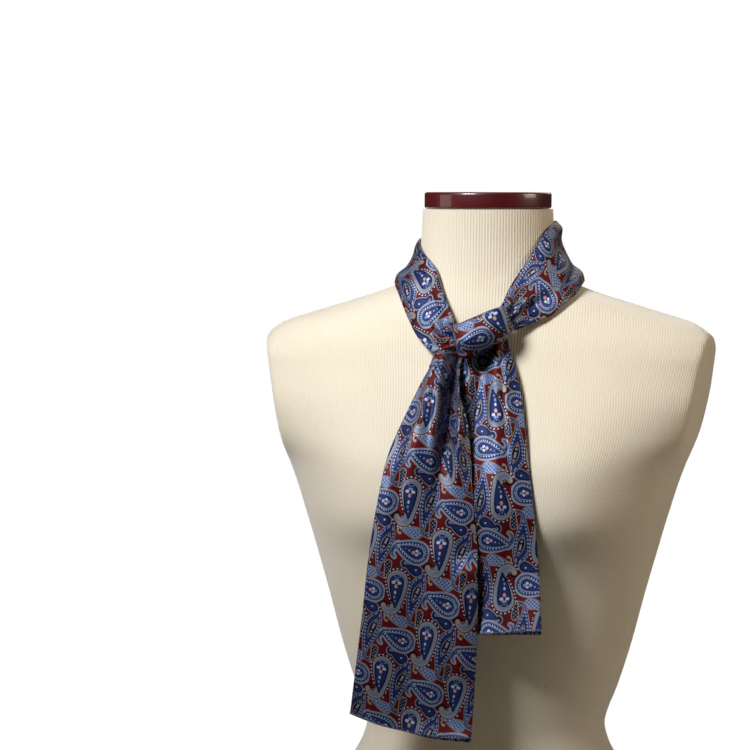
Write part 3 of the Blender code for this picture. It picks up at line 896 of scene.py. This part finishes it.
def upright_paisley(x, y, under):
    """A large upright paisley: a broad pale band, a core with a flower, and dots round its outside."""
    x, y = nearest_copy(x, y, (-1, -5))
    body = drop(x, y, (-0.7, 5.2), (2.4, -17.6), 8.9, 2.9)
    d, run = joined(body, curl(x, y, (-4.6, -18.4), 5.3, -8, -168, 4.4, 2.2), 1)
    core, _ = drop(x, y, (-1.2, 3.5), (0.6, -19.6), 6, 0.4)
    shown = mix_colour(d.below(0.45) + beads(d, run, 1.5, 3.1, 1.1), under, NAVY)
    shown = mix_colour(beads(d, run, 1.5, 3.1, 0.68), shown, WHITE)
    over, up = x + 1.2, y - 2.2
    side = over.math("ABSOLUTE")
    sprig = side.times_plus(-0.35, up - 5.4)
    return lay(shown, d, [(-12, BLUE_GREY), (-2.4, PALE), (-0.5, CREAM), (0, None)], [
        (within(x + 9.6, y + 19.4, 1.9) * d.below(-0.4), CREAM),
        (core.below(0.8), LIGHT),
        (core.below(0.45), NAVY),
        (core.below(-0.7), ROYAL),
        (within(side - 2.5, (up - 0.7) * 1.35, 1.85), WHITE),
        (within(side - 1, (up - 3) * 0.8, 1.05), LIGHT),
        (within(over * 1.35, up + 2.6, 1.9), PINK),
        (within(over, up - 0.3, 1.15), MAROON),
        (within(side - 1.9, up + 1.6, 0.65), MAROON),
        (within(side.wrapped(1.15), sprig, 0.62) * side.below(3.6), LIGHT),
        (within(over * 1.6, up + 8.2, 1.5), WHITE),
        (within(over * 1.6, up + 12.4, 1.3), LIGHT),
        (within(over - 1, up + 16.2, 0.8), LIGHT),
    ])


def dark_drop(x, y, under):
    """A small dark drop filled with dots, beside the large paisley's top."""
    dots = dot_grid(x, y, 1.6, 0.85)
    x, y = nearest_copy(x, y, (22.6, -27))
    d, _ = drop(x, y, (22.6, -20.6), (24.2, -34.2), 3.5, 0.7, 3)
    return lay(under, d, [(-5, NAVY), (-0.75, CREAM), (0, None)], [(d.below(-1.1) * dots, LIGHT)])


def paisley(x, y):
    """The silk's print on its burgundy ground, each motif over the ones before it."""
    shown = GROUND
    for motif in (light_drop, hooked_drop, leaf, lying_paisley, upright_paisley, dark_drop):
        shown = motif(x, y, shown)
    return shown


def principled(name, roughness, **constants):
    mat = bpy.data.materials.new(name)
    mat.use_nodes = True
    shader = mat.node_tree.nodes["Principled BSDF"]
    shader.inputs["Roughness"].default_value = roughness
    for key, value in constants.items():
        shader.inputs[key.replace("_", " ")].default_value = value
    return mat, mat.node_tree, shader


def uv_values(tree):
    """The piece's two uv coordinates."""
    node = tree.nodes.new("ShaderNodeUVMap")
    node.uv_map = "UVMap"
    split = tree.nodes.new("ShaderNodeSeparateXYZ")
    tree.links.new(node.outputs[0], split.inputs[0])
    return Value(tree, split.outputs[0]), Value(tree, split.outputs[1])


def noise(tree, scale, detail, vector=None):
    node = tree.nodes.new("ShaderNodeTexNoise")
    node.inputs["Scale"].default_value = scale
    node.inputs["Detail"].default_value = detail
    if vector is None:
        vector = tree.nodes.new("ShaderNodeTexCoord").outputs["Object"]
    tree.links.new(vector, node.inputs["Vector"])
    return Value(tree, node.outputs["Fac"])


def bump(shader, height, distance, strength):
    tree = height.tree
    node = tree.nodes.new("ShaderNodeBump")
    node.inputs["Distance"].default_value = distance
    node.inputs["Strength"].default_value = strength
    tree.links.new(height.socket, node.inputs["Height"])
    tree.links.new(node.outputs[0], shader.inputs["Normal"])


def silk_material():
    """Printed twill; a small metallic share gives the print's colours to its sheen."""
    mat, tree, shader = principled("printed silk", 0.42, Metallic=0.35, Specular_IOR_Level=0.2)
    x, y = (value * 1000.0 for value in uv_values(tree))
    twill = ((x + y) * (2.0 * math.pi / TWILL_PITCH)).math("SINE")
    slub = noise(tree, 900.0, 2.0)
    bright = slub.times_plus(0.5, 0.75, clamp=True)
    tree.links.new(mix_colour(bright, (0.0, 0.0, 0.0, 1.0), paisley(x, y)), shader.inputs["Base Color"])
    bump(shader, twill.times_plus(0.35, slub), 0.00012, 0.6)
    return mat


def jersey_material():
    """Ribbed knit: the first uv coordinate counts the ribs, the second climbs the form in metres."""
    mat, tree, shader = principled("ribbed jersey", 0.92, Sheen_Weight=0.35, Sheen_Roughness=0.6,
                                   Specular_IOR_Level=0.25)
    ribs, up = uv_values(tree)
    up = up * 1000.0
    wobble = noise(tree, 60.0, 3.0)
    wave = ribs.times_plus(2.0 * math.pi, wobble * 1.2).math("COSINE")
    course = (up * (2.0 * math.pi / COURSE_PITCH)).math("SINE")
    neck = up.times_plus(1.0 / DEEP_RIBS_RUN, -DEEP_RIBS_FROM / DEEP_RIBS_RUN, clamp=True)
    stitch = course.times_plus(0.25, wave) * neck.times_plus(0.5, 0.8)
    fuzz = noise(tree, 700.0, 2.0)
    patches = noise(tree, 14.0, 4.0)
    # Painted shade: the colour is lighter on the ribs' crests and darker in their valleys, following the
    # bump, and more so towards the neck; fuzz and patches add random tone
    tone = stitch.times_plus(0.12, 0.55)
    tone = fuzz.times_plus(0.35, tone) + patches.times_plus(0.3, -0.22)
    base = mix_colour(tone, colour(208, 192, 160), colour(238, 226, 202))
    tree.links.new(base, shader.inputs["Base Color"])
    bump(shader, stitch.times_plus(0.5, fuzz * 0.9), 0.0003, 0.8)
    return mat


def lacquer_material():
    """Dark red-brown lacquer over wood whose grain lies flat."""
    mat, tree, shader = principled("lacquered wood", 0.38, Coat_Weight=1.0, Coat_Roughness=0.08)
    coordinates = tree.nodes.new("ShaderNodeTexCoord")
    mapping = tree.nodes.new("ShaderNodeMapping")
    mapping.inputs["Scale"].default_value = (1.0, 1.0, 14.0)
    tree.links.new(coordinates.outputs["Object"], mapping.inputs[0])
    grain = noise(tree, 45.0, 6.0, mapping.outputs[0])
    tree.links.new(mix_colour(grain, colour(44, 6, 10), colour(104, 14, 20)), shader.inputs["Base Color"])
    bump(shader, grain, 0.0001, 0.3)
    return mat


def thread_material():
    mat, tree, shader = principled("overlock thread", 0.6, Sheen_Weight=0.3)
    twist = noise(tree, 1500.0, 1.0)
    tree.links.new(mix_colour(twist, colour(60, 66, 104), colour(150, 160, 190)), shader.inputs["Base Color"])
    return mat


def cover_uv(rings, girths, levels):
    """Ribs counted from the back's and the front's middle, and metres climbed from the foot."""
    share = np.arange(COVER_POINTS + 1) / COVER_POINTS
    near = np.minimum.reduce([share, np.abs(0.5 - share), 1.0 - share])
    pitch = girths / 4.0 / RIBS_PER_QUARTER
    shoulder = np.interp(SHOULDER_Z, levels, pitch)
    above = levels >= SHOULDER_Z
    pitch[above] = np.interp(levels[above], [SHOULDER_Z, NECK_RIBS_Z], [shoulder, NECK_RIB])
    climb = run_along(np.concatenate([rings, rings[:, :1]], axis=1))
    return np.stack([near * (girths / pitch)[:, None], climb * MM], axis=2)


def build_cover(mat):
    """The form's knitted cover, as a fine closed skin."""
    levels = [0.0, 0.3, 0.9, 1.8, 2.8, FOOT_ROUND, *np.arange(2.0 * FOOT_ROUND, SHOULDER_Z, COVER_STEP),
              *np.arange(SHOULDER_Z, NECK_Z, SHOULDER_STEP), *np.linspace(NECK_Z, NECK_TOP, NECK_LEVELS)]
    rings, girths = [], []
    for z in levels:
        foot = FOOT_ROUND - math.sqrt(FOOT_ROUND**2 - (FOOT_ROUND - min(z, FOOT_ROUND)) ** 2)
        ring, girth = form_ring(z, COVER_POINTS, foot + COVER_SINK)
        rings.append(ring)
        girths.append(girth)
    uv = cover_uv(np.array(rings), np.array(girths), np.array(levels))
    corners = []
    for low, high in zip(uv[:-1], uv[1:]):
        for j in range(COVER_POINTS):
            corners.extend((low[j + 1], low[j], high[j], high[j + 1]))
    corners.extend([uv[0, 0]] * COVER_POINTS + [uv[-1, 0]] * COVER_POINTS)
    cover = make_piece("form_cover", np.vstack(rings), ring_faces(len(levels), COVER_POINTS),
                       np.array(corners), mat, "jersey", "form_torso")
    cover.data.set_sharp_from_angle(angle=COVER_CREASE_ANGLE)


def build_cap(mat):
    """The wood cap, with rounded edges."""
    turns = [0.5 * math.pi * k / CAP_ROUND_STEPS for k in range(CAP_ROUND_STEPS + 1)]
    edge = [(CAP_EDGE_ROUND * (1.0 - math.cos(a)), CAP_EDGE_ROUND * (1.0 - math.sin(a))) for a in turns]
    profile = [(CAP_LOW, CAP_FACE_INSET), *[(CAP_LOW + up, inset) for up, inset in edge],
               *[(CAP_TOP - down, inset) for inset, down in edge], (CAP_TOP, CAP_FACE_INSET)]
    turn = np.linspace(0.0, 2.0 * math.pi, CAP_POINTS, endpoint=False)
    rings = []
    for z, inset in profile:
        x, y = (CAP_HALF_WIDTH - inset) * np.sin(turn), (CAP_HALF_DEPTH - inset) * np.cos(turn)
        rings.append(np.column_stack([x, y, np.full(CAP_POINTS, z)]))
    cap = make_piece("neck_cap_lacquered", np.vstack(rings), ring_faces(len(rings), CAP_POINTS), None,
                     mat, "cap", "neck_cap")
    cap.data.set_sharp_from_angle(angle=CAP_CREASE_ANGLE)


def build_tail(name, rows, folds, creases, sag, mat, thread):
    """A hanging tail: a doubled cloth, open at its hem, and the thread round the hem."""
    down, across = (np.linspace(0.0, 1.0, n) for n in TAIL_GRID)
    outer, inner = both_faces(TAIL_WALL, rows, down, across, towards_front, folds, (), creases)
    middle = len(across) // 2
    bow = 4.0 * across * (1.0 - across)
    near_hem = smooth((down - 1.0 + HEM_SHARE) / HEM_SHARE)[:, None]
    outer[:, :, 2] -= sag * bow * near_hem
    inner[:, :, 2] -= near_hem * (sag * bow + BACK_HEM_DROP * across**3)
    loops = flattened_tube(outer, inner)
    run = run_along(outer[:, middle])
    uv = print_uv(round_run(loops, middle), (run[-1] - run)[:, None], PRINT_PLACES[name])
    silk = make_piece(name + "_silk", *ply_shell(loops, uv, PLY), mat, "silk", name)
    return silk, hem_thread(name + "_hem", loops, thread)


def hem_thread(name, loops, mat):
    """The overlocked end: a thread that winds over both plies' edge, all round the mouth."""
    edge, above = (np.vstack([row, row[:1]]) for row in (loops[-1], loops[STITCH_ROW_ABOVE]))
    run = run_along(edge)
    count = int(run[-1] / STITCH_LENGTH) * 2
    at = np.linspace(0.0, run[-1], count, endpoint=False)
    line, high = (np.column_stack([np.interp(at, run, row[:, k]) for k in range(3)]) for row in (edge, above))
    lift = unit(high - line)
    ahead = unit(np.roll(line, -1, axis=0) - np.roll(line, 1, axis=0))
    out = np.cross(ahead, lift)
    out *= np.where(np.sum(out * (line - line.mean(axis=0)), axis=1) < 0, -1.0, 1.0)[:, None]
    odd = (np.arange(count) % 2)[:, None]
    points = line + lift * np.where(odd, STITCH_REACH, -STITCH_PAST_END)
    points = points + out * np.where(odd, STITCH_TOP_OUT, STITCH_END_OUT)
    curve = bpy.data.curves.new(name, "CURVE")
    curve.dimensions = "3D"
    curve.bevel_depth = THREAD_RADIUS * MM
    curve.bevel_resolution = 1
    spline = curve.splines.new("POLY")
    spline.points.add(count - 1)
    spline.points.foreach_set("co", np.column_stack([place(points), np.ones(count)]).ravel())
    spline.use_cyclic_u = True
    obj = in_scene(name, curve)
    curve.materials.append(mat)
    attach(obj, "root")
    return obj


def build_band(mat):
    """The neck loop, whose print changes behind the neck from one half's place to the other's."""
    down, across = (np.linspace(0.0, 1.0, n) for n in BAND_GRID)
    outer, inner = both_faces(BAND_WALL, NECK_LOOP, down, across, away_from_neck, LOOP_FOLDS,
                              LOOP_RIGHT_FOLDS, LEFT_BAND_CREASES, RIGHT_BAND_CREASES)
    middle = len(across) // 2
    loops = flattened_tube(outer, inner)
    run = run_along(outer[:, middle])
    left, right = (print_uv(round_run(loops, middle), -run[:, None], PRINT_PLACES[half])
                   for half in ("scarf_band_left", "scarf_band_right"))
    change = smooth((run / run[-1] - BAND_PRINT_FROM) / BAND_PRINT_SHARE)[:, None, None]
    return make_piece("scarf_neck_band_silk", *ply_shell(loops, left + (right - left) * change, PLY),
                      mat, "silk", "scarf_band_left", "scarf_band_back", "scarf_band_right")


def build_wrap(mat):
    """The roll round the front of the half knot, open at its back and ridged at its ends."""
    table = np.array(KNOT_WRAP)
    run = run_along(table[:, :3])
    at = np.linspace(0.0, run[-1], WRAP_GRID[0])
    read = read_rows(np.column_stack([run, table]), at)
    axis = np.gradient(read[:, :3], axis=0)
    axis[:, 1] = 0.0
    axis = unit(axis)
    up = np.column_stack([-axis[:, 2], axis[:, 1], axis[:, 0]])
    reach = math.pi * (1.0 - WRAP_OPENING * 0.5)
    turn = np.linspace(-reach, reach, WRAP_GRID[1])
    rings = []
    for centre, rise, half_height, half_depth, s in zip(read[:, :3], up, read[:, 3], read[:, 4], at):
        left, right = math.exp(-s / WRAP_LEFT_FADE), math.exp((s - run[-1]) / WRAP_RIGHT_FADE)
        ridge = 1.0
        for waves, phase, phase_per_mm, height, at_left, at_right in WRAP_RIDGES:
            height = height + at_left * left + at_right * right
            ridge = ridge + height * np.cos(waves * turn + phase + phase_per_mm * s)
        high = (half_height * ridge * np.sin(turn))[:, None] * rise
        deep = (half_depth * ridge * np.cos(turn))[:, None] * np.array([0.0, -1.0, 0.0])
        ring = centre + high + deep
        ring[:, 0] -= WRAP_LEAN * left * (ring[:, 2] - centre[2])
        rings.append(ring)
    loops = np.array(rings)
    middle = WRAP_GRID[1] // 2
    uv = print_uv(run_along(loops[:, middle])[:, None], round_run(loops, middle)[:, :-1],
                  PRINT_PLACES["scarf_knot_wrap"])
    return make_piece("scarf_knot_wrap_silk", *ply_shell(loops, uv, WRAP_PLY, closed=False),
                      mat, "silk", "scarf_knot_wrap")


def build_world():
    """Dim light from all round, behind a backdrop that the camera sees as white."""
    world = bpy.data.worlds.new("studio")
    world.use_nodes = True
    tree = world.node_tree
    room = tree.nodes["Background"]
    room.inputs[0].default_value = ROOM_TONE
    room.inputs[1].default_value = ROOM_LIGHT
    backdrop = tree.nodes.new("ShaderNodeBackground")
    backdrop.inputs[0].default_value = (1.0, 1.0, 1.0, 1.0)
    seen = tree.nodes.new("ShaderNodeLightPath")
    either = tree.nodes.new("ShaderNodeMixShader")
    sources = (seen.outputs["Is Camera Ray"], room.outputs[0], backdrop.outputs[0])
    for source, slot in zip(sources, either.inputs):
        tree.links.new(source, slot)
    tree.links.new(either.outputs[0], tree.nodes["World Output"].inputs[0])
    bpy.context.scene.world = world


def build_stage():
    """The pale floor and the studio's lights."""
    mat, tree, shader = principled("pale floor", 0.9, Specular_IOR_Level=0.1)
    shade = noise(tree, 3.0, 3.0)
    base = mix_colour(shade, colour(236, 235, 232), colour(246, 245, 243))
    tree.links.new(base, shader.inputs["Base Color"])
    turn = np.linspace(0.0, 2.0 * math.pi, FLOOR_POINTS, endpoint=False)
    rings = [(FLOOR_RADIUS - FLOOR_BEVEL, 0.0), (FLOOR_RADIUS, -FLOOR_BEVEL), (FLOOR_RADIUS, -FLOOR_DEPTH)]
    points = [(r * math.cos(a), r * math.sin(a), z) for r, z in rings for a in turn]
    mesh = bpy.data.meshes.new("floor")
    mesh.from_pydata(points, [], ring_faces(len(rings), FLOOR_POINTS))
    mesh.materials.append(mat)
    floor = in_scene("floor", mesh)
    for name, at, towards, size, watts, tone, spread in LIGHTS:
        light = bpy.data.lights.new(name, "AREA")
        light.energy = watts
        light.size = size
        light.color = tone
        light.spread = math.radians(spread)
        obj = in_scene(name, light)
        obj.location = at
        obj.rotation_euler = (Vector(towards) - Vector(at)).to_track_quat("-Z", "Y").to_euler()


def build_camera():
    """The photograph's camera, turned about the neck's axis."""
    data = bpy.data.cameras.new("camera")
    data.lens = CAMERA_LENS
    data.sensor_width = CAMERA_SENSOR
    data.clip_start = 0.05
    data.clip_end = 60.0
    obj = in_scene("camera", data)
    obj.location = place([CAMERA_DISTANCE * math.sin(CAMERA_TURN), -CAMERA_DISTANCE * math.cos(CAMERA_TURN),
                          CAMERA_HEIGHT])
    obj.rotation_euler = CAMERA_EULER
    bpy.context.scene.camera = obj


def main():
    build_camera()
    silk, jersey = silk_material(), jersey_material()
    lacquer, thread = lacquer_material(), thread_material()
    build_cover(jersey)
    build_cap(lacquer)
    long_tail, long_hem = build_tail("scarf_tail_long", LONG_TAIL, LONG_TAIL_FOLDS, LONG_TAIL_CREASES,
                                     LONG_HEM_SAG, silk, thread)
    short_tail, short_hem = build_tail("scarf_tail_short", SHORT_TAIL, SHORT_TAIL_FOLDS,
                                       SHORT_TAIL_CREASES, SHORT_HEM_SAG, silk, thread)
    band = build_band(silk)
    wrap = build_wrap(silk)
    build_world()
    build_stage()
    bpy.context.scene.view_settings.view_transform = "Standard"
    bpy.context.scene.view_settings.look = "None"


main()
